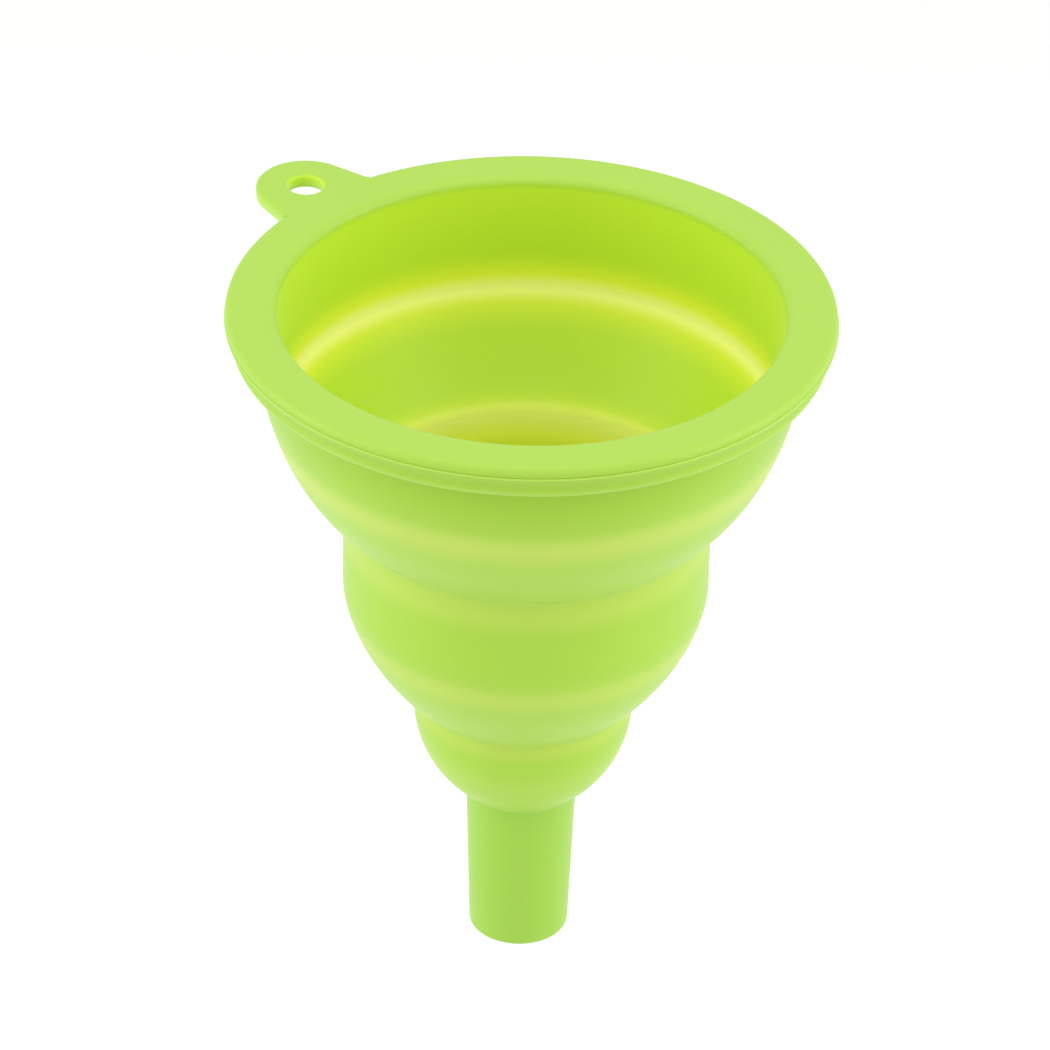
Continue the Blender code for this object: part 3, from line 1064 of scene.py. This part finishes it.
class FUNNEL_OT_studio(Operator):
    """Set the pale floor, the soft lights and the camera"""

    bl_idname = "funnel.studio"
    bl_label = "Studio"

    def execute(self, context):
        """Build the stage round the finished funnel."""
        self.surround(context)
        self.floor()
        self.lights(context)
        self.camera(context)
        context.scene.view_settings.view_transform = "Standard"
        return {"FINISHED"}

    def surround(self, context):
        """An even white room."""
        world = bpy.data.worlds.new("white_room")
        world.use_nodes = True
        nodes, links = world.node_tree.nodes, world.node_tree.links
        light = nodes["Background"]
        light.inputs["Color"].default_value = (1.0, 1.0, 0.99, 1.0)
        light.inputs["Strength"].default_value = studio().surround
        seen = nodes.new("ShaderNodeBackground")
        seen.inputs["Color"].default_value = (0.975, 0.98, 0.95, 1.0)
        path = nodes.new("ShaderNodeLightPath")
        choose = nodes.new("ShaderNodeMixShader")
        links.new(path.outputs["Is Camera Ray"], choose.inputs["Fac"])
        links.new(light.outputs["Background"], choose.inputs[1])
        links.new(seen.outputs["Background"], choose.inputs[2])
        links.new(choose.outputs["Shader"], nodes["World Output"].inputs["Surface"])
        context.scene.world = world

    def floor(self):
        """A wide pale floor, well below the spout."""
        build = bmesh.new()
        bmesh.ops.create_grid(build, x_segments=1, y_segments=1, size=30.0)
        mesh = bpy.data.meshes.new("floor")
        build.to_mesh(mesh)
        build.free()
        pale = bpy.data.materials.new("pale_floor")
        pale.use_nodes = True
        shader = pale.node_tree.nodes["Principled BSDF"]
        shader.inputs["Base Color"].default_value = (*finish().floor_white, 1.0)
        shader.inputs["Roughness"].default_value = 0.9
        shader.inputs["Specular IOR Level"].default_value = 0.0
        floor = new_piece("floor", mesh, pale)
        floor.location.z = CAD_BOX[0].z - 0.12

    def softbox(self, context, name, turn, lift, away, size, power):
        """A square area light, aimed at the middle of the funnel."""
        light = bpy.data.lights.new(name, "AREA")
        light.shape = "SQUARE"
        light.size = size
        light.energy = power
        lamp = bpy.data.objects.new(name, light)
        context.scene.collection.objects.link(lamp)
        centre = (CAD_BOX[0] + CAD_BOX[1]) / 2
        angle = studio().azimuth + turn
        towards = Vector((
            math.sin(angle) * math.cos(lift), -math.cos(angle) * math.cos(lift), math.sin(lift)))
        lamp.location = centre + towards * away
        lamp.rotation_mode = "QUATERNION"
        lamp.rotation_quaternion = towards.to_track_quat("Z", "Y")

    def lights(self, context):
        """A softbox on each side, one over the camera and one behind."""
        low = math.radians(25)
        self.softbox(context, "left_softbox", math.radians(-80), low, 0.7, 0.6, studio().left_power)
        self.softbox(context, "right_softbox", math.radians(80), low, 0.7, 0.6, studio().right_power)
        self.softbox(context, "key_softbox", 0.0, math.radians(60), 0.8, 0.6,
                     studio().key_power)
        self.softbox(context, "top_softbox", math.radians(180), math.radians(75), 0.8, 0.8,
                     studio().top_power)

    def camera(self, context):
        """A long lens from above, slightly rolled."""
        view = studio()
        a, e, roll = view.azimuth, view.elevation, view.roll
        right = Vector((math.cos(a), math.sin(a), 0.0))
        ahead = Vector((-math.sin(a) * math.cos(e), math.cos(a) * math.cos(e), -math.sin(e)))
        up = right.cross(ahead)
        rim_middle = Vector((0.0, 0.0, RIM_HIGH.z))
        place = rim_middle - right * view.shift_right - up * view.drop - ahead * view.distance
        across = right * math.cos(roll) + up * math.sin(roll)
        upward = up * math.cos(roll) - right * math.sin(roll)
        camera = bpy.data.cameras.new("camera")
        camera.lens = view.lens
        camera.sensor_width = 36.0
        camera.clip_end = 100.0
        holder = bpy.data.objects.new("camera", camera)
        holder.matrix_world = Matrix((
            (across.x, upward.x, -ahead.x, place.x),
            (across.y, upward.y, -ahead.y, place.y),
            (across.z, upward.z, -ahead.z, place.z),
            (0.0, 0.0, 0.0, 1.0)))
        context.scene.collection.objects.link(holder)
        context.scene.camera = holder


class FUNNEL_PT_panel(Panel):
    """The funnel's operators, in the order they are run"""

    bl_label = "Folding Funnel"
    bl_idname = "FUNNEL_PT_panel"
    bl_space_type = "VIEW_3D"
    bl_region_type = "UI"
    bl_category = "Funnel"

    def draw(self, context):
        """List one button for each operator."""
        for operator in OPERATORS:
            self.layout.operator(operator.bl_idname)


OPERATORS = (
    FUNNEL_OT_rim, FUNNEL_OT_upper_tier, FUNNEL_OT_middle_tier, FUNNEL_OT_lower_tier,
    FUNNEL_OT_spout, FUNNEL_OT_studio)
SETTINGS = {
    "funnel_shape": FunnelShape, "funnel_finish": FunnelFinish, "funnel_studio": FunnelStudio}


def register():
    """Register the settings, the operators and the panel."""
    for kind in (*SETTINGS.values(), *OPERATORS, FUNNEL_PT_panel):
        bpy.utils.register_class(kind)
    for name, kind in SETTINGS.items():
        setattr(bpy.types.Scene, name, PointerProperty(type=kind))


def unregister():
    """Take everything out again."""
    for name in SETTINGS:
        delattr(bpy.types.Scene, name)
    for kind in (FUNNEL_PT_panel, *reversed(OPERATORS), *reversed(SETTINGS.values())):
        bpy.utils.unregister_class(kind)


def main():
    register()
    bpy.ops.funnel.rim()
    bpy.ops.funnel.upper_tier()
    bpy.ops.funnel.middle_tier()
    bpy.ops.funnel.lower_tier()
    bpy.ops.funnel.spout()
    bpy.ops.funnel.studio()


if __name__ == "__main__":
    main()
